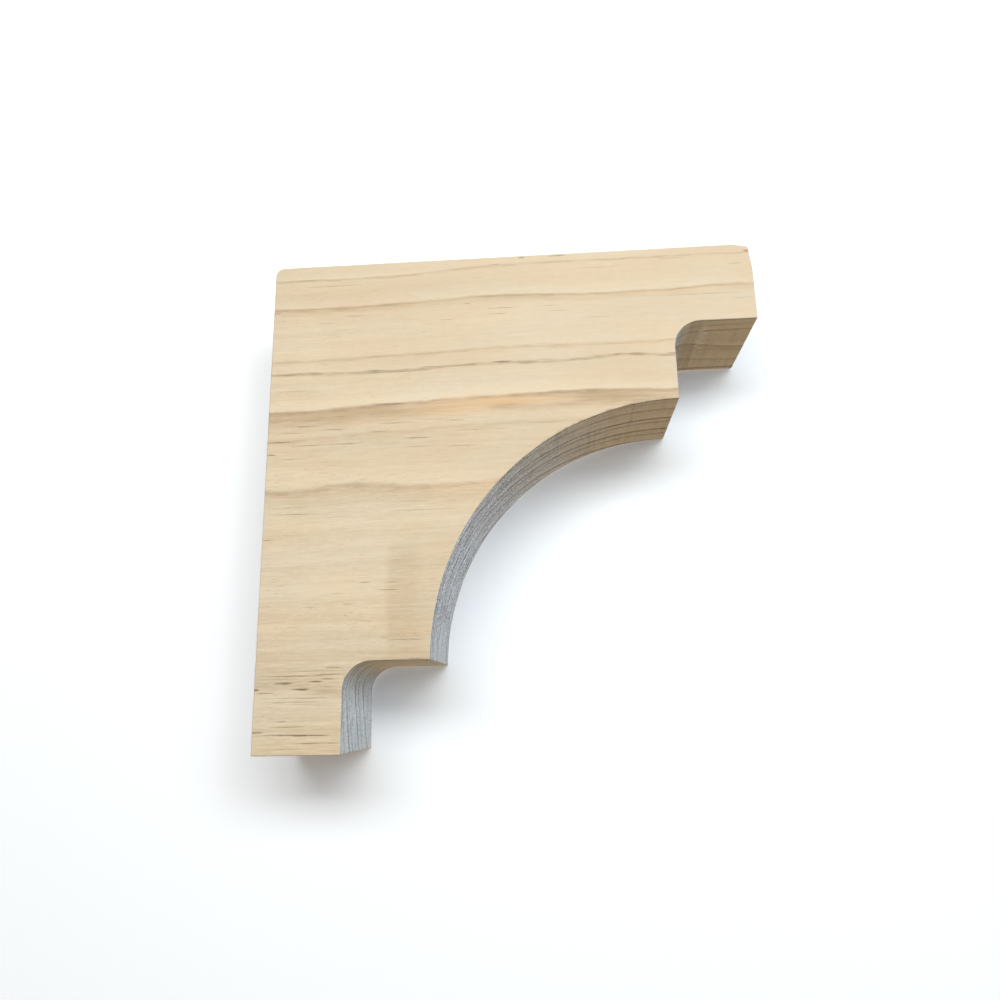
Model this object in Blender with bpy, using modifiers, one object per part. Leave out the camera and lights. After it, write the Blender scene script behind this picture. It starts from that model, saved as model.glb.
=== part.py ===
"""Roof corbel: a bracket sawn from one dressed pine board, stepped and coved underneath.

The wall face is the plane x = 0, with the origin at its middle. +X runs out from the wall, +Y through the
board's thickness and +Z up. All sizes are in metres.
"""

from math import cos, pi, radians, sin

import bmesh
import bpy

# The board that the corbel is sawn from
PROJECTION = 0.175
HEIGHT = 0.175
THICKNESS = 0.045

# The sawn front, from the square nose at the top down to the square foot at the wall
NOSE_HEIGHT = 0.0295
UPPER_STEP_LENGTH = 0.0295
UPPER_STEP_HEIGHT = 0.0290
LOWER_STEP_LENGTH = 0.0290
FOOT_LENGTH = 0.0295
FOOT_HEIGHT = 0.0295
STEP_CORNER_RADIUS = 0.0095
STEP_CORNER_MOST = 0.9  # the most of a step that its rounded corner may take

# Wear: the top corner at the wall is rounded, and the nose's top corner is knocked down
BACK_CORNER_RADIUS = 0.003
KNOCK_LENGTH = 0.0065
KNOCK_DEPTH = 0.0010
KNOCK_LEAN = 0.0010
KNOCK_LEAN_HEIGHT = 0.0100
ARRIS_RADIUS = 0.0008

# Straight runs that stand for each round stretch
COVE_RUNS = 48
STEP_CORNER_RUNS = 10
BACK_CORNER_RUNS = 6
ARRIS_RUNS = 2

PINE_COLOUR = (0.79, 0.66, 0.45, 1.0)
PINE_ROUGHNESS = 0.62

COPLANAR_ANGLE = radians(0.2)
ARRIS_ANGLE = radians(40.0)
WELD_DISTANCE = 0.00001


def clear_scene():
    """Removes every object that the new file came with."""
    for old in list(bpy.data.objects):
        bpy.data.objects.remove(old, do_unlink=True)


def pine():
    """Bare, sanded pine, pale and warm."""
    material = bpy.data.materials.new("pine")
    material.use_nodes = True
    shader = material.node_tree.nodes["Principled BSDF"]
    shader.inputs["Base Color"].default_value = PINE_COLOUR
    shader.inputs["Roughness"].default_value = PINE_ROUGHNESS
    shader.inputs["Metallic"].default_value = 0.0
    return material


def arc(centre, reach, first, last, runs):
    """Points on an ellipse round centre, from the first angle to the last."""
    points = []
    for step in range(runs + 1):
        angle = first + (last - first) * step / runs
        points.append((centre[0] + reach[0] * cos(angle), centre[1] + reach[1] * sin(angle)))
    return points


def step_corner(riser_x, under_z, length, height):
    """The hollow a round cutter leaves where a step's riser meets the underside above it."""
    radius = min(STEP_CORNER_RADIUS, STEP_CORNER_MOST * min(length, height))
    centre = (riser_x + radius, under_z - radius)
    return arc(centre, (radius, radius), pi, pi / 2, STEP_CORNER_RUNS)


def corbel_outline():
    """The side view as (x, z) points, from the foot at the wall up the sawn front and back along the top."""
    top = HEIGHT / 2
    bottom = -HEIGHT / 2
    nose_under = top - NOSE_HEIGHT
    upper_tip = nose_under - UPPER_STEP_HEIGHT
    ledge = bottom + FOOT_HEIGHT
    riser = PROJECTION - UPPER_STEP_LENGTH
    lower_tip = FOOT_LENGTH + LOWER_STEP_LENGTH

    outline = [(0.0, bottom), (FOOT_LENGTH, bottom)]
    outline += step_corner(FOOT_LENGTH, ledge, LOWER_STEP_LENGTH, FOOT_HEIGHT)
    outline += arc((riser, ledge), (riser - lower_tip, upper_tip - ledge), pi, pi / 2, COVE_RUNS)
    outline += step_corner(riser, nose_under, UPPER_STEP_LENGTH, UPPER_STEP_HEIGHT)
    outline += [
        (PROJECTION, nose_under),
        (PROJECTION, top - KNOCK_LEAN_HEIGHT),
        (PROJECTION - KNOCK_LEAN, top - KNOCK_DEPTH),
        (PROJECTION - KNOCK_LENGTH, top),
    ]
    round_centre = (BACK_CORNER_RADIUS, top - BACK_CORNER_RADIUS)
    outline += arc(round_centre, (BACK_CORNER_RADIUS, BACK_CORNER_RADIUS), pi / 2, pi, BACK_CORNER_RUNS)
    return outline


def outline_curve(outline):
    """A flat closed curve, filled and as thick as the board, turned to stand upright."""
    curve = bpy.data.curves.new("corbel_outline", "CURVE")
    curve.dimensions = "2D"
    curve.fill_mode = "BOTH"
    curve.extrude = THICKNESS / 2
    spline = curve.splines.new("POLY")
    spline.points.add(len(outline) - 1)
    for point, (x, z) in zip(spline.points, outline):
        point.co = (x, z, 0.0, 1.0)
    spline.use_cyclic_u = True
    upright = bpy.data.objects.new("corbel_outline", curve)
    upright.rotation_euler = (pi / 2, 0.0, 0.0)
    return upright


def solid_board(upright, collection):
    """Welds the curve's faces into one body whose broad faces are single flat faces."""
    collection.objects.link(upright)
    bpy.context.view_layer.update()
    evaluated = upright.evaluated_get(bpy.context.evaluated_depsgraph_get())
    mesh = bpy.data.meshes.new_from_object(evaluated)
    mesh.name = "corbel_block"
    body = bmesh.new()
    body.from_mesh(mesh)
    bmesh.ops.remove_doubles(body, verts=body.verts, dist=WELD_DISTANCE)
    bmesh.ops.dissolve_limit(body, angle_limit=COPLANAR_ANGLE, verts=body.verts, edges=body.edges)
    bmesh.ops.recalc_face_normals(body, faces=body.faces)
    body.to_mesh(mesh)
    body.free()
    block = bpy.data.objects.new("corbel_block", mesh)
    block.matrix_world = upright.matrix_world
    collection.objects.link(block)
    bpy.data.objects.remove(upright, do_unlink=True)
    return block


def ease_arrises(block):
    """Takes the sharpness off every square edge, as light sanding does."""
    bevel = block.modifiers.new("eased_arrises", "BEVEL")
    bevel.width = ARRIS_RADIUS
    bevel.segments = ARRIS_RUNS
    bevel.limit_method = "ANGLE"
    bevel.angle_limit = ARRIS_ANGLE


def build():
    clear_scene()
    collection = bpy.data.collections.new("roof_corbel")
    bpy.context.scene.collection.children.link(collection)
    block = solid_board(outline_curve(corbel_outline()), collection)
    ease_arrises(block)
    block.data.materials.clear()
    block.data.materials.append(pine())
    block.data.shade_smooth()
    block.data.set_sharp_from_angle(angle=ARRIS_ANGLE)


build()
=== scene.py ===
"""Roof corbel in bare pine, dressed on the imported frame, with a pale backdrop and soft studio light."""

import math

import bmesh
import bpy
from mathutils import Euler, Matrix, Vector, noise


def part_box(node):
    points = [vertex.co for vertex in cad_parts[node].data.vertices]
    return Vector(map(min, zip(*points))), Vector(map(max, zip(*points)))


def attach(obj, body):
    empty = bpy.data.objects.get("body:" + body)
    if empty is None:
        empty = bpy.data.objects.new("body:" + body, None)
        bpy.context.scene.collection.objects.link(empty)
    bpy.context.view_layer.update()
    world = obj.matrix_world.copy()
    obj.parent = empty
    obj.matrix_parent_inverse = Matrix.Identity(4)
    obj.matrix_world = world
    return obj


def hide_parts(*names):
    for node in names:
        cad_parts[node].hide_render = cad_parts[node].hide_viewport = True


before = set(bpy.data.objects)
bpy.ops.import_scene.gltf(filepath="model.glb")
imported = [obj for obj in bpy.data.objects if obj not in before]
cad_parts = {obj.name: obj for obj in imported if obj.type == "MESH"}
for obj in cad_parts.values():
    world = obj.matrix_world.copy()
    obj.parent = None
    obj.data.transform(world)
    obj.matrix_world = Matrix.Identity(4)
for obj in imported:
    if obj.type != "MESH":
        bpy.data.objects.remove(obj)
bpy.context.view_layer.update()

# The corbel: one bracket band-sawn from a 45 mm dressed pine board, its long grain running out from the wall.
# The top and the wall face are left square; the front is cut as a square nose, a step, a quarter-round cove,
# a second step and a square foot, with the steps' inner corners left round by the cutter.
low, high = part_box("corbel_block")
WALL_X = low.x
NOSE_X = high.x
FOOT_Z = low.z
TOP_Z = high.z
NEAR_Y = low.y
FAR_Y = high.y

NOSE_HEIGHT = 0.0295
UPPER_STEP_LENGTH = 0.0295
LOWER_STEP_LENGTH = 0.0290
FOOT_LENGTH = 0.0295
FOOT_HEIGHT = 0.0295
STEP_CORNER_RADIUS = 0.0095
STEP_CORNER_RUNS = 14
COVE_RUNS = 150

BACK_CORNER_RADIUS = 0.003
BACK_CORNER_RUNS = 6
KNOCK_LENGTH = 0.0065
KNOCK_DEPTH = 0.0010
KNOCK_LEAN = 0.0010
KNOCK_LEAN_HEIGHT = 0.0100

CRISP_ARRIS = 0.0004
RISER_ARRIS = 0.0008
WORN_ARRIS = 0.0024
WEAR_SHORT = 0.014
ARRIS_RUNS = 3
SQUARE_ANGLE = math.radians(40)
UPRIGHT_LEAN = 0.3
CELL = 0.0012
LONG_FACE = 1.5 * CELL
ARRIS_CELL = 0.0007
ARRIS_LOOP = 0.00025
TINY = 0.00001

# How squarely a face looks along the board's thickness before it counts as broad, for each job
FLAT_BROAD = 0.999
NEARLY_BROAD = 0.99
WORN_BROAD = 0.9
EDGE_ON = 0.5

# The planer's waves and the cutter's ripple: how deep they are, and how far apart along x, y and z
PLANED_WAVE = 0.00005
PLANED_SIZE = (0.02, 0.02, 0.003)
SAWN_RIPPLE = 0.00006
SAWN_SIZE = (0.0015, 0.04, 0.0015)

# The torn fibres start this many degrees up the cove; each of the two kinds has its length in degrees and its
# own place in the noise
TEAR_FROM = 35.0
TEAR_FULL = 60.0
COVE_END = 90.0
TEAR_DEPTH = 0.00035
TEARS = ((0.9, (0.5, 0.5)), (2.5, (0.2, 0.7)))
NEAR_STRIP = 1.1 * CRISP_ARRIS
COVE_STRIP = 1.5 * CRISP_ARRIS
CHIP_HEIGHT = 0.0240
CHIP_PLACE = Vector((WALL_X + FOOT_LENGTH, NEAR_Y, FOOT_Z + CHIP_HEIGHT))
CHIP_REACH = 0.0016
CHIP_DEPTH = 0.0006

nose_under = TOP_Z - NOSE_HEIGHT
ledge = FOOT_Z + FOOT_HEIGHT
riser = NOSE_X - UPPER_STEP_LENGTH
foot_front = WALL_X + FOOT_LENGTH
lower_tip = foot_front + LOWER_STEP_LENGTH
WEAR_STOP = nose_under - WEAR_SHORT


def side_view():
    """The near broad face as one flat face, its cove spun and its inner corners rounded."""
    body = bmesh.new()
    first = body.verts.new((WALL_X, NEAR_Y, FOOT_Z))
    chain = [first]

    def run_to(x, z):
        point = body.verts.new((x, NEAR_Y, z))
        body.edges.new((chain[-1], point))
        chain.append(point)
        return point

    run_to(foot_front, FOOT_Z)
    lower_corner = run_to(foot_front, ledge)
    tip = run_to(lower_tip, ledge)
    spun = bmesh.ops.spin(
        body, geom=[tip], cent=(riser, NEAR_Y, ledge), axis=(0, 1, 0), angle=math.pi / 2, steps=COVE_RUNS,
        use_duplicate=False,
    )
    chain.append(next(v for v in spun["geom_last"] if isinstance(v, bmesh.types.BMVert)))
    run_to(riser, WEAR_STOP)
    upper_corner = run_to(riser, nose_under)
    run_to(NOSE_X, nose_under)
    run_to(NOSE_X, TOP_Z - KNOCK_LEAN_HEIGHT)
    run_to(NOSE_X - KNOCK_LEAN, TOP_Z - KNOCK_DEPTH)
    run_to(NOSE_X - KNOCK_LENGTH, TOP_Z)
    back_corner = run_to(WALL_X, TOP_Z)
    body.edges.new((back_corner, first))
    bmesh.ops.contextual_create(body, geom=body.edges[:])
    for corners, radius, runs in (
        ([lower_corner, upper_corner], STEP_CORNER_RADIUS, STEP_CORNER_RUNS),
        ([back_corner], BACK_CORNER_RADIUS, BACK_CORNER_RUNS),
    ):
        bmesh.ops.bevel(
            body, geom=corners, affect="VERTICES", offset=radius, offset_type="OFFSET", segments=runs,
            profile=0.5, clamp_overlap=False, material=-1,
        )
    return body


def weigh_arrises(body):
    """Gives each square edge its share of the widest rounding. The far arrises of the end faces wear most."""
    weight = body.edges.layers.float.new("bevel_weight_edge")
    for edge in body.edges:
        if edge.calc_face_angle(0.0) < SQUARE_ANGLE:
            continue
        a, b = (v.co for v in edge.verts)
        upright_far = min(a.y, b.y) > FAR_Y - TINY and abs(a.x - b.x) < UPRIGHT_LEAN * abs(a.z - b.z)
        on_nose = min(a.x, b.x) > NOSE_X - KNOCK_LEAN - TINY
        on_riser = min(a.x, b.x) > riser - TINY and max(a.z, b.z) < WEAR_STOP + TINY
        edge[weight] = CRISP_ARRIS / WORN_ARRIS
        if upright_far and on_nose:
            edge[weight] = 1.0
        elif upright_far and on_riser:
            edge[weight] = RISER_ARRIS / WORN_ARRIS


body = side_view()
grown = bmesh.ops.extrude_face_region(body, geom=body.faces[:])
bmesh.ops.translate(
    body, verts=[v for v in grown["geom"] if isinstance(v, bmesh.types.BMVert)], vec=(0, FAR_Y - NEAR_Y, 0)
)
bmesh.ops.recalc_face_normals(body, faces=body.faces)
weigh_arrises(body)
square_mesh = bpy.data.meshes.new("corbel_square")
body.to_mesh(square_mesh)
body.free()
square = bpy.data.objects.new("corbel_square", square_mesh)
bpy.context.scene.collection.objects.link(square)
eased = square.modifiers.new("eased_arrises", "BEVEL")
eased.width = WORN_ARRIS
eased.segments = ARRIS_RUNS
eased.limit_method = "WEIGHT"
eased.use_clamp_overlap = False
corbel_mesh = bpy.data.meshes.new_from_object(square.evaluated_get(bpy.context.evaluated_depsgraph_get()))
bpy.data.objects.remove(square, do_unlink=True)
bpy.data.meshes.remove(square_mesh)
corbel_mesh.name = "corbel"


def cut_across(body, faces, place, facing):
    """Cuts the faces along one plane without opening them."""
    parts = set(faces)
    for face in faces:
        parts.update(face.edges)
        parts.update(face.verts)
    bmesh.ops.bisect_plane(body, geom=list(parts), plane_co=place, plane_no=facing)


def grid_lines(start, end):
    """Even places a cell apart, from start to end."""
    count = round((end - start) / CELL)
    return [start, *(start + (end - start) * i / count for i in range(1, count)), end]


def along_axis(axis):
    """A vector of one along x, y or z."""
    return Vector([1.0 if i == axis else 0.0 for i in range(3)])


def wave(place, size):
    """Noise from 0 to about 1 at a place, stretched by that size along each axis."""
    return (1.0 + noise.noise(Vector([at / stretch for at, stretch in zip(place, size)]))) / 2


def extent(face, axis):
    """How far a face reaches along one axis."""
    places = [v.co[axis] for v in face.verts]
    return max(places) - min(places)


def wear_in(body):
    """Lets the surface in, never out: planed waves along the grain on the broad faces, the cutter's ripple
    across the sawn ones, torn fibres on the cove's near arris and a chip in the foot's."""
    moves = []
    for vert in body.verts:
        x, y, z = vert.co
        if abs(vert.normal.y) > WORN_BROAD:
            depth = PLANED_WAVE * wave(vert.co, PLANED_SIZE)
        else:
            depth = SAWN_RIPPLE * wave(vert.co, SAWN_SIZE)
        if y < NEAR_Y + NEAR_STRIP:
            angle = math.degrees(math.atan2(z - ledge, riser - x))
            off_cove = abs(math.hypot(riser - x, z - ledge) - (riser - lower_tip))
            if off_cove < COVE_STRIP and TEAR_FROM < angle < COVE_END:
                share = min((angle - TEAR_FROM) / (TEAR_FULL - TEAR_FROM), 1.0)
                torn = sum(noise.noise(Vector((angle / size, *where))) for size, where in TEARS)
                depth += TEAR_DEPTH * share * max(torn, 0.0)
            chipped = 1.0 - (Vector((x, y, z)) - CHIP_PLACE).length / CHIP_REACH
            depth += CHIP_DEPTH * max(chipped, 0.0)
        moves.append((vert, vert.normal * -depth))
    for vert, move in moves:
        vert.co += move


body = bmesh.new()
body.from_mesh(corbel_mesh)
for side in (-1, 1):
    broad = [f for f in body.faces if f.normal.y * side > FLAT_BROAD]
    bmesh.ops.inset_region(body, faces=broad, thickness=ARRIS_LOOP, use_even_offset=False, use_boundary=True)
along_x = grid_lines(WALL_X + ARRIS_CELL, NOSE_X - ARRIS_CELL)
up_z = grid_lines(FOOT_Z + ARRIS_CELL, TOP_Z - ARRIS_CELL)
across = grid_lines(NEAR_Y + ARRIS_CELL, FAR_Y - WORN_ARRIS)
for axis, places in ((0, along_x), (2, up_z)):
    facing = along_axis(axis)
    for place in places:
        narrow = [f for f in body.faces if abs(f.normal.y) < NEARLY_BROAD and extent(f, axis) > LONG_FACE]
        cut_across(body, narrow, facing * place, facing)
for place in across:
    edge_on = [f for f in body.faces if abs(f.normal.y) < EDGE_ON]
    cut_across(body, edge_on, (0, place - TINY, 0), along_axis(1))
for axis, places in ((2, up_z), (0, along_x)):
    facing = along_axis(axis)
    for place in places:
        broad = [f for f in body.faces if abs(f.normal.y) > NEARLY_BROAD]
        cut_across(body, broad, facing * place, facing)
bmesh.ops.dissolve_degenerate(body, edges=body.edges, dist=2 * TINY)
body.normal_update()
wear_in(body)
body.normal_update()
body.to_mesh(corbel_mesh)
body.free()

corbel = bpy.data.objects.new("corbel", corbel_mesh)
bpy.context.scene.collection.objects.link(corbel)
corbel_mesh.shade_smooth()
corbel_mesh.set_sharp_from_angle(angle=SQUARE_ANGLE)


class Signal:
    """A value that runs through a material's nodes. Arithmetic on values adds Math nodes."""

    def __init__(self, tree, socket=None):
        self.tree = tree
        self.socket = socket

    def node(self, kind, settings=None, inputs=None, output=0):
        """Adds any node: its settings are set first, then the values or links of its sockets."""
        made = self.tree.nodes.new(kind)
        for name, value in (settings or {}).items():
            if name == "stops":
                elements = made.color_ramp.elements
                while len(elements) < len(value):
                    elements.new(1.0)
                for element, (place, tone) in zip(elements, value):
                    element.position = place
                    element.color = (tone, tone, tone, 1.0)
            elif name == "ramp":
                made.color_ramp.interpolation = value
            else:
                setattr(made, name, value)
        for key, value in (inputs or {}).items():
            if isinstance(value, Signal):
                self.tree.links.new(value.socket, made.inputs[key])
            else:
                made.inputs[key].default_value = value
        return Signal(self.tree, made.outputs[output])

    def math(self, operation, *values, clamp=False):
        settings = {"operation": operation, "use_clamp": clamp}
        return self.node("ShaderNodeMath", settings, dict(enumerate(values)))

    def __add__(self, other):
        return self.math("ADD", self, other)

    __radd__ = __add__

    def __sub__(self, other):
        return self.math("SUBTRACT", self, other)

    def __rsub__(self, other):
        return self.math("SUBTRACT", other, self)

    def __mul__(self, other):
        return self.math("MULTIPLY", self, other)

    __rmul__ = __mul__

    def __truediv__(self, other):
        return self.math("DIVIDE", self, other)

    def __pow__(self, other):
        return self.math("POWER", self, other)

    def clamped(self):
        return self.math("ADD", self, 0.0, clamp=True)

    def step(self, first, last, low=0.0, high=1.0):
        """Runs smoothly from low at first to high at last; first may be the larger."""
        inputs = {"Value": self, "From Min": first, "From Max": last, "To Min": low, "To Max": high}
        return self.node("ShaderNodeMapRange", {"interpolation_type": "SMOOTHSTEP"}, inputs)

    def over(self, x, y, z):
        """This place with each axis divided by that many millimetres."""
        return self.node("ShaderNodeVectorMath", {"operation": "DIVIDE"}, {0: self, 1: (x, y, z)})

    def cloud(self, detail=2.0, roughness=0.5):
        """Soft noise over this place, about 0.5."""
        inputs = {"Vector": self, "Scale": 1.0, "Detail": detail, "Roughness": roughness}
        return self.node("ShaderNodeTexNoise", {"noise_dimensions": "3D"}, inputs)

    def swing(self, size, detail=2.0, roughness=0.5):
        """Soft noise about zero over this place, its size given along each axis."""
        return self.over(*size).cloud(detail, roughness) - 0.5

    def patched(self, size, edges, detail=2.0, roughness=0.5):
        """Patches of noise over this place: their size along each axis, and the step that shapes them."""
        return self.over(*size).cloud(detail, roughness).step(*edges)

    def blended(self, first, second):
        """The first value where this is 0 and the second where it is 1."""
        return self.node("ShaderNodeMix", {"data_type": "FLOAT"}, {0: self, 2: first, 3: second})

    def mixed(self, first, second, blend="MIX"):
        """The first colour where this is 0 and the second where it is 1."""
        settings = {"data_type": "RGBA", "blend_type": blend}
        return self.node("ShaderNodeMix", settings, {0: self, 6: first, 7: second}, output=2)


# The pine's material works in millimetres. Where two numbers stand together, a step starts at the first and
# is full at the second, and two more say what it runs from and to. A face is end grain as far as it looks
# along x, and sawn as far as it doesn't look along y.
MILLIMETRES = 1000.0
END_GRAIN = (0.15, 0.95)
SAWN = (0.75, 0.45)

sawn_pine = bpy.data.materials.new("sawn_pine")
sawn_pine.use_nodes = True
tree = sawn_pine.node_tree
shader = tree.nodes["Principled BSDF"]
start = Signal(tree)
metres = start.node("ShaderNodeTexCoord", output="Object")
place = metres.node("ShaderNodeVectorMath", {"operation": "SCALE"}, {0: metres, "Scale": MILLIMETRES})
facing = start.node("ShaderNodeTexCoord", output="Normal")
x, y, z = (place.node("ShaderNodeSeparateXYZ", inputs={0: place}, output=axis) for axis in range(3))
nx, ny, nz = (facing.node("ShaderNodeSeparateXYZ", inputs={0: facing}, output=axis) for axis in range(3))
end_grain = nx.math("ABSOLUTE", nx).step(*END_GRAIN)
long_grain = 1.0 - end_grain
sawn = ny.math("ABSOLUTE", ny).step(*SAWN)

# The tree's heart lay behind the board and below its middle, so the growth rings are arcs that bulge towards
# the near face. The fibres climb a little on their way out from the wall, and the rings swell at the foot.
HEART_DEPTH = 127.0
HEART_HEIGHT = -36.0
CLIMB = (0.0, 90.0, 0.0, 1.5)
CLIMB_ABOVE = (-55.0, -20.0)
UNREST_SIZE = (60, 30, 30)
UNREST = 1.1
SHIVER_SIZE = (7, 2.2, 2.2)
SHIVER = 0.45
FIBRE_SIZE = (10, 0.7, 0.7)
FIBRE = 0.9
LOWER_SWELL = (-40.0, -62.0, 0.0, 1.6)
SWELL_DEPTH = 8.0

near = NEAR_Y * MILLIMETRES
top = TOP_Z * MILLIMETRES
climb = x.step(*CLIMB) * z.step(*CLIMB_ABOVE)
grain = place.node("ShaderNodeCombineXYZ", inputs={0: x, 1: y, 2: z - climb})
depth = (HEART_DEPTH + near) - y
height = z - HEART_HEIGHT
unrest = grain.swing(UNREST_SIZE)
shiver = grain.swing(SHIVER_SIZE, roughness=0.6)
fibres = grain.swing(FIBRE_SIZE, detail=3.0, roughness=0.65)
radius = (depth * depth + height * height) ** 0.5 + unrest * UNREST + shiver * SHIVER + fibres * FIBRE
radius = radius + z.step(*LOWER_SWELL) * y.step(near + SWELL_DEPTH, near)

# Each ring: where its hard edge lies at the wall, how wide its latewood is, how dark the latewood and the
# line at its edge are, and how far the edge strays on its way out from the wall, as places and distances.
RINGS = (
    (173.2, 1.2, 0.20, 0.30, ((0, 0.0), (50, 0.4), (80, 1.6), (110, 1.8), (175, 1.8))),
    (165.7, 2.0, 0.65, 0.32, ((0, 0.0), (16, -0.2), (50, 0.4), (72, 1.0), (92, 0.9), (115, 0.3), (147, 0.3),
                              (160, 0.8), (175, 0.8))),
    (153.0, 1.4, 0.35, 0.25, ((0, 0.0), (35, 0.4), (70, 0.9), (95, 1.4), (140, 1.2), (165, 2.0), (175, 2.2))),
    (150.4, 1.0, 0.30, 0.60, ((0, 0.0), (17, 0.0), (36, -0.2), (61, 0.1), (80, 0.6), (102, 0.6), (130, 1.2),
                              (145, 0.8), (175, 1.3))),
    (143.1, 3.6, 1.00, 0.38, ((0, 0.0), (18, 0.1), (35, 0.7), (61, 1.1), (87, 1.6), (105, 1.9), (125, 1.7),
                              (138, 1.5), (150, 0.9), (165, -1.8), (175, -2.5))),
    (141.9, 2.6, 0.40, 0.00, ((0, 0.0), (35, 0.7), (61, 1.1), (105, 1.9), (138, 1.5), (165, -1.8),
                              (175, -2.5))),
    (138.6, 0.9, 0.30, 0.15, ((0, 0.0), (35, 0.7), (87, 1.6), (138, 1.5), (175, 0.0))),
    (132.4, 2.3, 0.62, 0.25, ((0, 0.0), (13, 0.0), (32, 0.45), (46, 0.1), (57, 0.0), (80, 0.35), (102, 1.0),
                              (123, 1.9), (144, 2.0), (165, 0.0), (175, -0.3))),
    (125.0, 2.0, 0.85, 0.75, ((0, 1.2), (30, 1.2), (50, 0.8), (72, -0.3), (84, -0.6), (95, -0.3), (110, 0.5),
                              (144, 1.4), (175, 1.8))),
    (121.6, 0.9, 0.40, 0.45, ((0, 0.6), (48, 0.6), (72, -0.3), (95, -0.2), (144, 1.2), (175, 1.6))),
    (114.8, 2.0, 0.85, 0.75, ((0, -0.8), (30, -0.8), (50, -1.3), (66, -0.8), (96, 0.2), (116, 0.7),
                              (144, 1.4), (175, 1.6))),
    (110.4, 0.9, 0.35, 0.45, ((0, -0.6), (50, -1.0), (68, -0.6), (96, 0.2), (144, 1.4), (175, 1.6))),
    (103.2, 1.9, 0.80, 0.70, ((0, 0.0), (30, -0.1), (50, -0.8), (72, -0.8), (96, 0.0), (123, 1.8), (144, 2.2),
                              (175, 2.2))),
    (90.5, 2.0, 0.80, 0.65, ((0, 0.0), (70, -0.2), (84, 1.4), (100, 2.0), (175, 2.0))),
    (78.0, 2.2, 0.80, 0.60, ((0, 0.0), (90, 0.8), (175, 1.2))),
)
STRAY_RANGE = 8.0
RING_EDGE = (-0.8, 1.0)
EDGE_SOFTNESS = 0.34
SAWN_CRISPER = 0.20
LINE_WIDTH = 0.75
SAWN_WIDER = 0.60
LINE_FADE = (1.0, 0.35)
PALE_BEFORE = (-4.0, -0.3)
PATCH_SIZE = (34, 14, 9)
PATCH_TONE = (0.32, 0.66, 0.62, 1.12)
DASH_SIZE = (9, 1.5, 1.5)
DASH_TONE = (0.36, 0.62, 0.25, 1.1)
SAWN_DASH = 0.8
FIBRE_BREAK = 1.3

# The latewood is fainter near the surface of the foot, and both it and its line under the nose.
FOOT_BELOW = (-48.0, -58.0)
FOOT_SKIN = 3.0
FOOT_FAINTER = 0.45
FACING_DOWN = (-0.7, -0.9)
NOSE_ABOVE = (50.0, 55.0)
NOSE_FAINTER = 0.35

length = (NOSE_X - WALL_X) * MILLIMETRES
share = x / length
patches = grain.patched(PATCH_SIZE, PATCH_TONE)
dashes = grain.patched(DASH_SIZE, DASH_TONE, roughness=0.6)
dashes = sawn.blended(dashes, 1.0 + shiver * SAWN_DASH)
line_width = sawn * SAWN_WIDER + LINE_WIDTH
softness = EDGE_SOFTNESS - sawn * SAWN_CRISPER
latewood = 0.0
edge_line = 0.0
paleness = 0.0
for edge, width, tone, line, strays in RINGS:
    stops = [(along / length, 0.5 + stray / STRAY_RANGE) for along, stray in strays]
    stray = share.node("ShaderNodeValToRGB", {"ramp": "CARDINAL", "stops": stops}, {0: share})
    reach = (stray * STRAY_RANGE + (edge - 0.5 * STRAY_RANGE)) - radius
    inside = (reach / softness).step(*RING_EDGE)
    latewood = latewood + inside * (1.0 - reach / width).clamped() * tone
    edge_line = edge_line + inside * (reach / line_width).step(*LINE_FADE) * line
    paleness = paleness + (1.0 - inside) * reach.step(*PALE_BEFORE) * tone
under_nose = nz.step(*FACING_DOWN) * z.step(*NOSE_ABOVE)
latewood = latewood * patches * (1.0 + fibres * FIBRE_BREAK)
latewood = latewood * (1.0 - (z.step(*FOOT_BELOW) * y.step(near + FOOT_SKIN, near) * FOOT_FAINTER))
latewood = latewood * (1.0 - under_nose * NOSE_FAINTER)
edge_line = edge_line * dashes * (1.0 - under_nose * NOSE_FAINTER)

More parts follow.
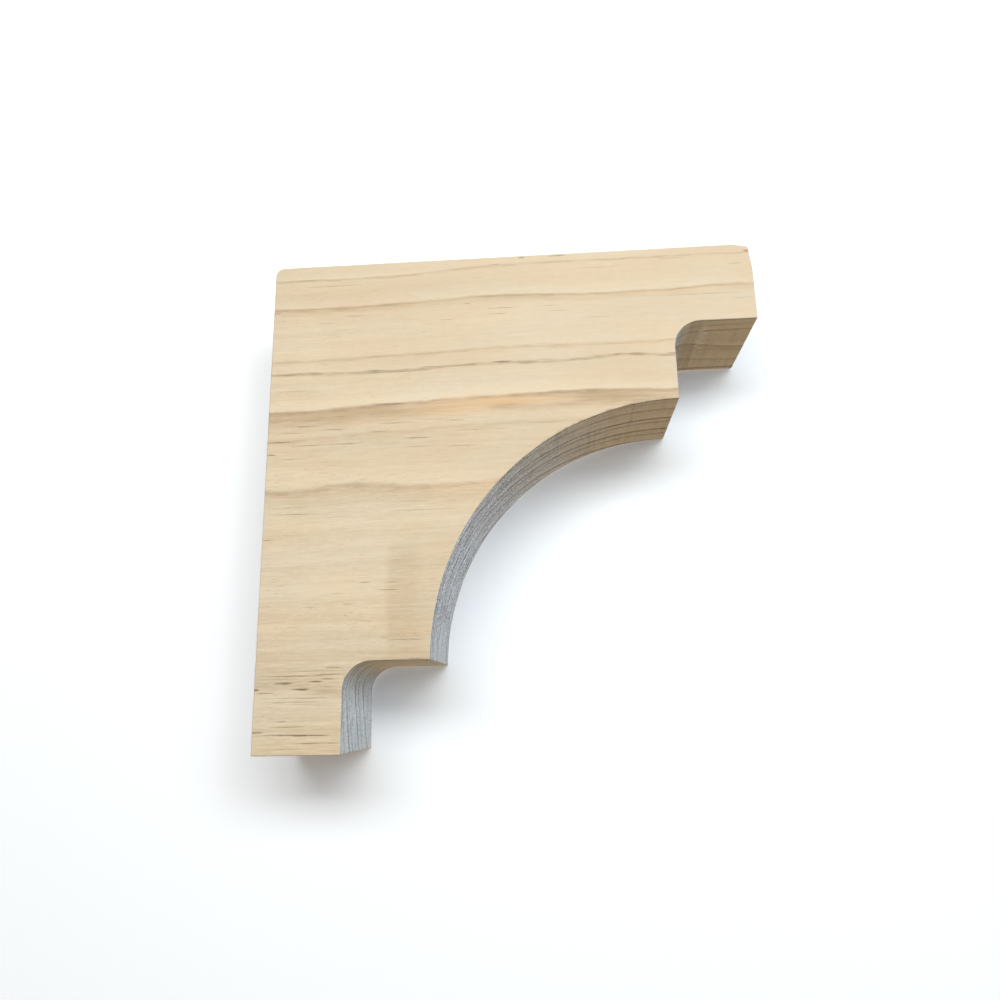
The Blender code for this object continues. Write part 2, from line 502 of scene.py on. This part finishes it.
# Resin streaks that open on the near face: each one's distance from the wall and from the top, its half
# length, its half thickness, and how dark it is.
STREAKS = (
    (13.5, 5.6, 5.5, 0.22, 0.45), (22, 8.5, 13, 0.20, 0.40), (76, 8.0, 3.5, 0.20, 0.35),
    (82, 3.0, 2.4, 0.22, 0.40), (92, 0.8, 1.6, 0.40, 0.70), (105, 0.8, 3.8, 0.35, 0.65),
    (120, 6.4, 8.5, 0.25, 0.30), (146, 4.2, 6.0, 0.18, 0.25), (169, 7.6, 3.0, 0.22, 0.50),
    (173.6, 2.8, 1.8, 0.50, 0.65), (1, 18.6, 2.2, 0.30, 0.75), (30.5, 21, 4.5, 0.24, 0.40),
    (20, 23.4, 4.0, 0.24, 0.35), (72, 18.2, 2.0, 0.28, 0.50), (84.5, 20.7, 6.5, 0.22, 0.60),
    (82.5, 22.9, 4.5, 0.20, 0.45), (105, 22.9, 4.0, 0.18, 0.35), (64, 24.3, 4.0, 0.22, 0.40),
    (118, 26.1, 6.0, 0.18, 0.30), (156, 19.1, 16, 0.20, 0.38), (101, 20.6, 4.5, 0.16, 0.30),
    (170, 21.4, 3.5, 0.18, 0.25), (38.5, 43.0, 5.5, 0.30, 0.65), (58, 42.4, 4.5, 0.26, 0.55),
    (83.8, 41.7, 4.6, 0.28, 0.80), (100, 41.6, 4.0, 0.24, 0.50), (122, 41, 9.0, 0.22, 0.35),
    (144.5, 41.3, 3.0, 0.22, 0.60), (10, 49.6, 6.0, 0.45, 0.25), (24, 40.7, 3.5, 0.18, 0.30),
    (43, 56.0, 8.0, 0.48, 0.70), (36, 57.2, 5.0, 0.25, 0.40), (13, 61.0, 8.0, 0.20, 0.40),
    (13, 63.2, 9.5, 0.26, 0.55), (24, 64.8, 5.5, 0.26, 0.60), (8, 65.6, 6.0, 0.22, 0.50),
    (46, 63.2, 7.0, 0.24, 0.50), (40, 66.2, 3.5, 0.24, 0.50), (66, 63, 5.5, 0.22, 0.50),
    (76, 66.8, 12, 0.20, 0.45), (100, 65.2, 8.5, 0.20, 0.40), (4.5, 68.8, 5.5, 0.32, 0.75),
    (16, 70.3, 9.0, 0.24, 0.50), (28.5, 70.2, 8.0, 0.24, 0.50), (53.8, 69, 5.8, 0.24, 0.75),
    (54.5, 72.2, 7.0, 0.22, 0.40), (69, 72.5, 9.0, 0.22, 0.45), (1.5, 73.4, 2.2, 0.34, 0.90),
    (9, 75.2, 7.0, 0.18, 0.35), (9, 92.8, 9.0, 0.22, 0.35), (12, 95.2, 9.0, 0.24, 0.55),
    (57, 95, 15, 0.22, 0.38), (1.9, 104, 2.6, 0.24, 0.60), (36.3, 119.5, 2.5, 0.26, 0.55),
    (46, 119.7, 3.2, 0.24, 0.50), (44, 122.2, 5.0, 0.24, 0.55), (27, 123, 3.5, 0.20, 0.35),
    (18, 127.5, 3.0, 0.24, 0.35), (31, 126.6, 2.8, 0.22, 0.45), (12, 134, 2.6, 0.22, 0.30),
    (51, 138.8, 8.0, 0.24, 0.55), (54, 145, 5.0, 0.24, 0.50), (26.5, 147.4, 3.6, 0.30, 0.55),
    (12, 149.9, 14, 0.24, 0.60), (25, 149.6, 6.0, 0.28, 0.65), (24.5, 151, 2.8, 0.28, 0.60),
    (10, 152.2, 4.2, 0.42, 0.85), (20.5, 151.8, 3.2, 0.36, 0.75), (15.8, 154.2, 3.8, 0.38, 1.0),
    (0.7, 154.2, 1.4, 0.50, 1.0), (4, 155.2, 4.0, 0.26, 0.60), (16, 157, 14, 0.22, 0.50),
    (20, 148.4, 12, 0.18, 0.40), (8, 150.9, 8.5, 0.18, 0.40),
    (13, 158.2, 13, 0.20, 0.45), (22, 159.4, 6.0, 0.18, 0.35), (9.5, 164.3, 2.6, 0.26, 0.45),
    (12, 166, 8.0, 0.24, 0.45), (1.8, 167.6, 2.6, 0.34, 0.70), (10, 168.5, 9.5, 0.24, 0.65),
    (19, 168.8, 7.5, 0.28, 0.80), (22, 171.2, 10, 0.26, 0.60), (12, 172.9, 7.0, 0.18, 0.35),
    (16, 168.7, 18, 0.17, 0.20), (19, 158.9, 13, 0.18, 0.25),
)
STREAK_DEPTH = 3.0
STREAK_EDGE = (1.15, 0.30)
FRAY_SIZE = (3.0, 1.0, 0.5)
FRAY = 0.40
STREAK_BREAK = (-0.26, 0.10, 0.40, 0.92)
FOOT_STREAKS = (-50.0, -62.0, 1.0, 1.15)

frayed = grain.swing(FRAY_SIZE, roughness=0.65)
streak_place = grain.node("ShaderNodeCombineXYZ", inputs={0: x, 1: y, 2: z + frayed * FRAY})
streaks = 0.0
for along, down, half_length, half_thickness, tone in STREAKS:
    centre = (along / half_length, near / STREAK_DEPTH, (top - down) / half_thickness)
    away = streak_place.over(half_length, STREAK_DEPTH, half_thickness)
    away = away.node("ShaderNodeVectorMath", {"operation": "DISTANCE"}, {0: away, 1: centre}, output="Value")
    streaks = streaks + away.step(*STREAK_EDGE, 0.0, tone)
streaks = streaks * frayed.step(*STREAK_BREAK) * z.step(*FOOT_STREAKS)

# The wood between the rings: long pale and dark fibres, short brown flecks, and a slow drift of its tint.
# The figure is stronger towards the wall and the foot. Beside the cove's lower end a faint painted shadow
# darkens the near face.
FIGURE = (-60.0, 190.0, 1.30, 0.34)
FOOT_FIGURE = (-50.0, -62.0, 1.0, 1.20)
DRIFT_SIZE = (70, 22, 22)
BAND_SIZE = (120, 2.6, 2.6)
HAIR_SIZE = (2.6, 0.30, 0.30)
MOTTLE_SIZE = (3.5, 1.3, 1.3)
FLECK_PATCH_SIZE = (30, 9, 9)
FLECK_PATCH_EDGE = (0.35, 0.7)
FLECK_SIZE = (2.6, 0.40, 0.40)
FLECK_EDGE = (0.64, 0.76)
LONG_FLECK_SIZE = (8, 0.50, 0.50)
LONG_FLECK_EDGE = (0.68, 0.78)
THREAD_SIZE = (16, 1.4, 0.42)
THREAD_EDGE = (0.60, 0.74)
THREAD_PATCH_SIZE = (50, 9, 7)
THREAD_PATCH_EDGE = (0.38, 0.62)
# Where the painted shadow beside the cove's lower end lies on the near face, and how dark it is.
SHADOW_FROM_WALL = (42.2, 45.8)
SHADOW_TO_COVE = (58.0, 50.0, 0.35, 1.0)
SHADOW_FROM_TOP = (-12.0, -24.0)
SHADOW_TO_FOOT = (-58.0, -46.0, 0.45, 1.0)
SHADOW_SKIN = (3.0, 1.0)
SHADOW_DARKNESS = 0.45

strength = (x + z).step(*FIGURE) * z.step(*FOOT_FIGURE)
drift = grain.swing(DRIFT_SIZE)
bands = grain.swing(BAND_SIZE, detail=3.0, roughness=0.6)
hairs = grain.swing(HAIR_SIZE, roughness=0.6)
mottle = grain.swing(MOTTLE_SIZE, roughness=0.6)
fleck_patches = grain.patched(FLECK_PATCH_SIZE, FLECK_PATCH_EDGE, detail=1.0)
flecks = grain.patched(FLECK_SIZE, FLECK_EDGE, detail=1.0) * fleck_patches
long_flecks = grain.patched(LONG_FLECK_SIZE, LONG_FLECK_EDGE, detail=1.0) * fleck_patches
threads = grain.patched(THREAD_SIZE, THREAD_EDGE, roughness=0.55)
threads = threads * grain.patched(THREAD_PATCH_SIZE, THREAD_PATCH_EDGE, detail=1.0)
# The painted shadow beside the cove's lower end darkens the near face's tint.
painted_shadow_patch = x.step(*SHADOW_FROM_WALL) * x.step(*SHADOW_TO_COVE) * z.step(*SHADOW_FROM_TOP) * z.step(*SHADOW_TO_FOOT)
painted_shadow_patch = painted_shadow_patch * y.step(near + SHADOW_SKIN[0], near + SHADOW_SKIN[1]) * SHADOW_DARKNESS

PALE = (0.672, 0.570, 0.420, 1.0)
DEEP = (0.524, 0.412, 0.272, 1.0)
BLUSH = (1.015, 0.985, 0.950, 1.0)
LATEWOOD = (0.420, 0.285, 0.150, 1.0)
AMBER = (0.600, 0.400, 0.205, 1.0)
EDGE_LINE = (0.240, 0.157, 0.082, 1.0)
RESIN = (0.130, 0.078, 0.038, 1.0)

TINT_MIDDLE = 0.42
DRIFT = 0.8
MOTTLE = 0.35
BANDS = 1.0
FIBRE_TINT = 0.9
HAIR_TINT = 0.55
PALENESS = 0.30
BLUSH_SIZE = (38, 16, 10)
BLUSH_EDGE = (0.36, 0.64)
AMBER_FROM_WALL = (35.0, 75.0)
AMBER_SIZE = (30, 9, 4)
AMBER_EDGE = (0.35, 0.6)
FLECK_TONE = 0.34
LONG_FLECK_TONE = 0.36
THREAD_TONE = 0.30

figure = bands * BANDS + fibres * FIBRE_TINT + hairs * HAIR_TINT
tint = drift * DRIFT + mottle * MOTTLE + figure * strength
tint = (TINT_MIDDLE + tint - paleness * PALENESS + painted_shadow_patch).clamped()
colour = tint.mixed(PALE, DEEP)
blush = grain.patched(BLUSH_SIZE, BLUSH_EDGE)
colour = blush.mixed(colour, BLUSH, "MULTIPLY")
amber = x.step(*AMBER_FROM_WALL) * grain.patched(AMBER_SIZE, AMBER_EDGE, detail=1.0)
amber = (amber * (1.0 - sawn)).clamped()
colour = latewood.clamped().mixed(colour, amber.mixed(LATEWOOD, AMBER))
colour = edge_line.clamped().mixed(colour, EDGE_LINE)
specks = flecks * FLECK_TONE + long_flecks * LONG_FLECK_TONE + threads * THREAD_TONE
colour = (specks * strength).clamped().mixed(colour, EDGE_LINE)
colour = streaks.clamped().mixed(colour, RESIN)

# Sawn faces: the open ends of the fibres look greyer and are speckled in rows, and those that face out from
# the wall also carry a painted cool bluish light. The ring lines are darker than on the planed faces, and the
# near arris is scorched. The cove is livelier than the rest. Pale scuffs cross the nose's underside, which
# has painted shade, deepest where its rounded corner starts.
END_GREY_AND_COOL_LIGHT = (0.757, 0.953, 1.135, 1.0)
WALL_END = (0.900, 0.900, 0.880, 1.0)
SAWN_LONG = (1.06, 1.01, 0.89, 1.0)
# The dark colour of the marks, also used for the painted shade under the ledge and on the nose's underside.
DARK_MARKS_AND_SHADE = (0.150, 0.130, 0.108, 1.0)
SCUFF = (0.82, 0.78, 0.70, 1.0)
ROW_SIZE = (0.45, 2.2, 0.45)
SPECKLE_SIZE = (0.55, 0.80, 0.55)
LANE_SIZE = (9.0, 0.9, 9.0)
CHATTER_SIZE = (1.7, 50.0, 1.7)
LOOKS_OUT = (-0.5, 0.5)
COVE_FROM_WALL = (58.0, 60.0)
COVE_BELOW = (30.0, 28.0)
COVE_LIVELIER = 1.4

rows = place.swing(ROW_SIZE, roughness=0.6)
speckle = place.swing(SPECKLE_SIZE, detail=1.0)
lanes = place.swing(LANE_SIZE, detail=1.0)
chatter = place.swing(CHATTER_SIZE, roughness=0.6)
# End grain facing out from the wall gets a cool bluish tint: painted cool light over its greyer colour.
end_grey_and_cool_light = nx.step(*LOOKS_OUT).mixed(WALL_END, END_GREY_AND_COOL_LIGHT)
colour = end_grain.mixed(colour, end_grey_and_cool_light, "MULTIPLY")
colour = (sawn * long_grain).mixed(colour, SAWN_LONG, "MULTIPLY")
coved = x.step(*COVE_FROM_WALL) * z.step(*COVE_BELOW)
liveliness = 1.0 + coved * COVE_LIVELIER

# The marks of the open fibres: where each kind starts to darken the wood and by how much, and the same for
# where it turns it pale.
FIBRE_MARKS = (
    (rows, (0.0, 0.24), 0.34, (-0.02, -0.26), 0.34),
    (speckle, (0.02, 0.24), 0.26, (-0.04, -0.26), 0.26),
    (lanes, (0.0, 0.24), 0.30, (-0.02, -0.26), 0.26),
)
DARK_ON_LONG = 0.30
DARK_ON_END = 0.70
PALE_ON_LONG = 0.20
PALE_ON_END = 0.80
MOTTLE_MARK = (0.0, 0.2)
MOTTLE_DARK = 0.06
CHATTER_MARK = (0.0, 0.22)
CHATTER_DARK = 0.14
CHATTER_GAP = (0.0, -0.22)
CHATTER_PALE = 0.09

dark_marks = 0.0
pale_marks = 0.0
for marks, dark_edges, dark, pale_edges, pale in FIBRE_MARKS:
    dark_marks = dark_marks + marks.step(*dark_edges) * dark
    pale_marks = pale_marks + marks.step(*pale_edges) * pale
dark_marks = dark_marks * (DARK_ON_LONG + end_grain * DARK_ON_END) * liveliness
pale_marks = pale_marks * (PALE_ON_LONG + end_grain * PALE_ON_END) * liveliness
cross_marks = mottle.step(*MOTTLE_MARK) * MOTTLE_DARK + chatter.step(*CHATTER_MARK) * CHATTER_DARK
dark_marks = dark_marks + cross_marks * long_grain
pale_marks = sawn * (pale_marks + chatter.step(*CHATTER_GAP) * long_grain * CHATTER_PALE)

# The scorched near arris, painted shade under the ledge, painted shade on the nose's underside, deepest
# where its rounded corner starts, and the ring lines once more, which show most on the cove.
SCORCH_SKIN = (1.3, 0.4)
SCORCH = 0.55
LEDGE_BELOW = (-57.0, -58.0)
LEDGE_SKIN = 20.0
LEDGE_SHADE = 0.30
# Painted shade on the nose's underside: the band where its rounded corner starts, how dark that band is, and
# how dark the whole underside is.
CORNER_SHADE_FROM = (150.5, 153.0)
CORNER_SHADE_TO = (157.5, 155.0)
CORNER_SHADE = 0.16
UNDERSIDE_SHADE = 0.035
LINE_AGAIN = 0.60
LATEWOOD_AGAIN = 0.12
AGAIN_PLAIN = 0.34
AGAIN_COVE = 0.56
AGAIN_COVE_END = 1.80

scorch_and_ledge_shade = y.step(near + SCORCH_SKIN[0], near + SCORCH_SKIN[1]) * SCORCH
# Painted shade darkens the long-grain faces below the ledge, most at the near face.
scorch_and_ledge_shade = scorch_and_ledge_shade + z.step(*LEDGE_BELOW) * long_grain * y.step(near + LEDGE_SKIN, near) * LEDGE_SHADE
# Painted shade on the nose's underside, deeper in a band where its rounded corner starts.
nose_underside_shade = under_nose * (x.step(*CORNER_SHADE_FROM) * x.step(*CORNER_SHADE_TO) * CORNER_SHADE + UNDERSIDE_SHADE)
line_again = edge_line * LINE_AGAIN + latewood * LATEWOOD_AGAIN
line_again = line_again * (AGAIN_PLAIN + coved * (AGAIN_COVE + end_grain * AGAIN_COVE_END))
dark_marks = (sawn * (dark_marks + scorch_and_ledge_shade + nose_underside_shade + line_again)).clamped()
# The dark marks and the painted shade go on in one dark colour.
colour = dark_marks.mixed(colour, DARK_MARKS_AND_SHADE)

# The scuffs run to and fro across the nose's underside: how wide a turn is, how far it leans, where it lies.
SCUFF_START = 60.0
SCUFF_TURN = 2.1
SCUFF_LEAN = 1.5
SCUFF_PLACE = 156.0
SCUFF_WIDTH = (0.60, 0.15)
SCUFF_NEAR = (-19.0, -16.0)
SCUFF_FAR = (4.0, 1.0)
SCUFF_TONE = 0.8
SCUFF_MOTTLE = 2.2
SCUFF_SPECKLE = 1.6
SCUFF_WHOLE = 0.70

zigzag = place.node("ShaderNodeMath", {"operation": "PINGPONG"}, {0: y + SCUFF_START, 1: SCUFF_TURN})
scuff = zigzag.math("ABSOLUTE", x - (SCUFF_PLACE + zigzag * SCUFF_LEAN)).step(*SCUFF_WIDTH)
scuff = scuff * under_nose * y.step(*SCUFF_NEAR) * y.step(*SCUFF_FAR) * SCUFF_TONE
scuff = scuff * (mottle * SCUFF_MOTTLE + speckle * SCUFF_SPECKLE + SCUFF_WHOLE).clamped()
colour = (pale_marks + scuff).clamped().mixed(colour, SCUFF)

# The open end grain is rougher than the planed wood and the dense latewood smoother, and the fibres stand up
# a little.
ROUGHNESS = 0.60
END_ROUGHER = 0.20
LATEWOOD_SMOOTHER = 0.08
HAIR_ROUGHER = 0.15
HAIR_RELIEF = 0.5
FIBRE_RELIEF = 0.4
ROW_RELIEF = 1.2
SPECKLE_RELIEF = 0.8
RELIEF_STRENGTH = 0.5
RELIEF_DEPTH = 0.00012

tree.links.new(colour.socket, shader.inputs["Base Color"])
roughness = ROUGHNESS + end_grain * END_ROUGHER - latewood * LATEWOOD_SMOOTHER + hairs * HAIR_ROUGHER
tree.links.new(roughness.clamped().socket, shader.inputs["Roughness"])
relief = hairs * HAIR_RELIEF + fibres * FIBRE_RELIEF + sawn * (rows * ROW_RELIEF + speckle * SPECKLE_RELIEF)
raised = relief.node(
    "ShaderNodeBump", inputs={"Strength": RELIEF_STRENGTH, "Distance": RELIEF_DEPTH, "Height": relief}
)
tree.links.new(raised.socket, shader.inputs["Normal"])

corbel_mesh.materials.clear()
corbel_mesh.materials.append(sawn_pine)

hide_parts("corbel_block")
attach(corbel, "root")

# The studio: a pale sheet stands right behind the corbel, which looks as if it lay on it, and catches its soft
# shadow. A pale floor lies well below. The sheet glows faintly, shows on its front only, and throws no light or
# shadow on the corbel, which can then be seen from behind.
SHEET_GAP = 0.0005
SHEET_HALF = 2.0
SHEET_WHITE = (0.95, 0.975, 1.0, 1.0)
SHEET_GLOW = (0.024, 0.040, 0.068, 1.0)
FLOOR_Z = -0.60
FLOOR_HALF = 4.0
FLOOR_WARM = (0.66, 0.62, 0.56, 1.0)
FLOOR_PALE = (0.74, 0.74, 0.73, 1.0)
FLOOR_SEEN = 0.75


def pale_paint(name, tone):
    paint = bpy.data.materials.new(name)
    paint.use_nodes = True
    shader = paint.node_tree.nodes["Principled BSDF"]
    shader.inputs["Base Color"].default_value = tone
    shader.inputs["Roughness"].default_value = 1.0
    shader.inputs["Specular IOR Level"].default_value = 0.0
    return paint


def stage_sheet(name, half, turn, where):
    sheet = bmesh.new()
    bmesh.ops.create_grid(sheet, x_segments=1, y_segments=1, size=half)
    bmesh.ops.rotate(sheet, verts=sheet.verts, cent=(0, 0, 0), matrix=turn)
    bmesh.ops.translate(sheet, verts=sheet.verts, vec=where)
    mesh = bpy.data.meshes.new(name)
    sheet.to_mesh(mesh)
    sheet.free()
    made = bpy.data.objects.new(name, mesh)
    bpy.context.scene.collection.objects.link(made)
    return made


upright = Euler((math.pi / 2, 0, 0)).to_matrix()
backdrop = stage_sheet("backdrop", SHEET_HALF, upright, (0, FAR_Y + SHEET_GAP, 0))
backdrop_paint = pale_paint("backdrop_white", SHEET_WHITE)
tree = backdrop_paint.node_tree
shader = tree.nodes["Principled BSDF"]
shader.inputs["Emission Color"].default_value = SHEET_GLOW
shader.inputs["Emission Strength"].default_value = 1.0
start = Signal(tree)
behind = start.node("ShaderNodeNewGeometry", output="Backfacing")
clear = start.node("ShaderNodeBsdfTransparent", output=0)
one_sided = start.node("ShaderNodeMixShader", inputs={0: behind, 2: clear})
tree.links.new(shader.outputs[0], one_sided.socket.node.inputs[1])
tree.links.new(one_sided.socket, tree.nodes["Material Output"].inputs["Surface"])
backdrop.data.materials.append(backdrop_paint)
backdrop.visible_shadow = False
backdrop.visible_diffuse = False
backdrop.visible_glossy = False
backdrop.visible_transmission = False

level = Euler((0, 0, 0)).to_matrix()
floor = stage_sheet("floor", FLOOR_HALF, level, (0, 0, FLOOR_Z))
floor_paint = pale_paint("floor_white", FLOOR_WARM)
tree = floor_paint.node_tree
seen = Signal(tree).node("ShaderNodeLightPath", output="Is Camera Ray") * FLOOR_SEEN
pale = seen.node("ShaderNodeEmission", inputs={"Color": FLOOR_PALE, "Strength": 1.0})
floor_look = seen.node("ShaderNodeMixShader", inputs={0: seen, 2: pale})
tree.links.new(tree.nodes["Principled BSDF"].outputs[0], floor_look.socket.node.inputs[1])
tree.links.new(floor_look.socket, tree.nodes["Material Output"].inputs["Surface"])
floor.data.materials.append(floor_paint)


def area_light(name, place, width, height, spread, power, tint):
    """A flat lamp aimed at the corbel; its spread is the full angle of its beam."""
    lamp = bpy.data.lights.new(name, "AREA")
    lamp.shape = "RECTANGLE"
    lamp.size = width
    lamp.size_y = height
    lamp.spread = spread
    lamp.energy = power
    lamp.color = tint
    made = bpy.data.objects.new(name, lamp)
    made.location = place
    made.rotation_euler = (LAMP_AIM - Vector(place)).to_track_quat("-Z", "Y").to_euler()
    made.visible_camera = False
    bpy.context.scene.collection.objects.link(made)


# Each lamp: its name, place, width, height, spread, power and tint.
LAMP_AIM = Vector((0.08, 0.0, 0.0))
BEAM = 1.4
LAMPS = (
    ("softbox", (0.09, -0.80, 0.32), 0.90, 0.26, math.pi, 7.1, (0.942, 0.970, 0.980)),
    ("fill_high", (-1.30, -0.9, 0.50), 0.80, 0.80, BEAM, 0.30, (0.95, 0.98, 1.0)),
    ("near_right", (0.55, -0.75, 0.20), 0.30, 0.30, math.pi, 1.64, (0.87, 0.96, 1.0)),
    ("cool_edge", (1.60, 0.3, 0.35), 0.80, 0.80, BEAM, 4.80, (0.51, 0.65, 1.0)),
    ("behind", (-0.20, 1.5, 0.70), 1.00, 1.00, math.pi, 14.0, (1.0, 0.98, 0.95)),
)
for lamp in LAMPS:
    area_light(*lamp)

# The room throws a dim warm light on the corbel's undersides, and looks pale itself.
ROOM_LIGHT = (0.243, 0.197, 0.139, 1.0)
ROOM_PALE = (0.80, 0.81, 0.82, 1.0)
world = bpy.data.worlds.new("studio")
bpy.context.scene.world = world
world.use_nodes = True
seen = Signal(world.node_tree).node("ShaderNodeLightPath", output="Is Camera Ray")
air = seen.mixed(ROOM_LIGHT, ROOM_PALE)
world.node_tree.links.new(air.socket, world.node_tree.nodes["Background"].inputs["Color"])
world.node_tree.nodes["Background"].inputs["Strength"].default_value = 1.0

# The camera stands where the photograph was taken from, just below the cove and looking slightly up.
CAMERA_PLACE = (0.0994, -0.2885, -0.0728)
CAMERA_TURN = (104.25, 1.10, 3.94)
CAMERA_LENS = 29.02
CAMERA_SENSOR = 36.0
CAMERA_NEAREST = 0.01

camera_data = bpy.data.cameras.new("camera")
camera_data.sensor_width = CAMERA_SENSOR
camera_data.lens = CAMERA_LENS
camera_data.clip_start = CAMERA_NEAREST
camera = bpy.data.objects.new("camera", camera_data)
camera.location = CAMERA_PLACE
camera.rotation_euler = [math.radians(turn) for turn in CAMERA_TURN]
bpy.context.scene.collection.objects.link(camera)
bpy.context.scene.camera = camera
bpy.context.scene.view_settings.view_transform = "Standard"
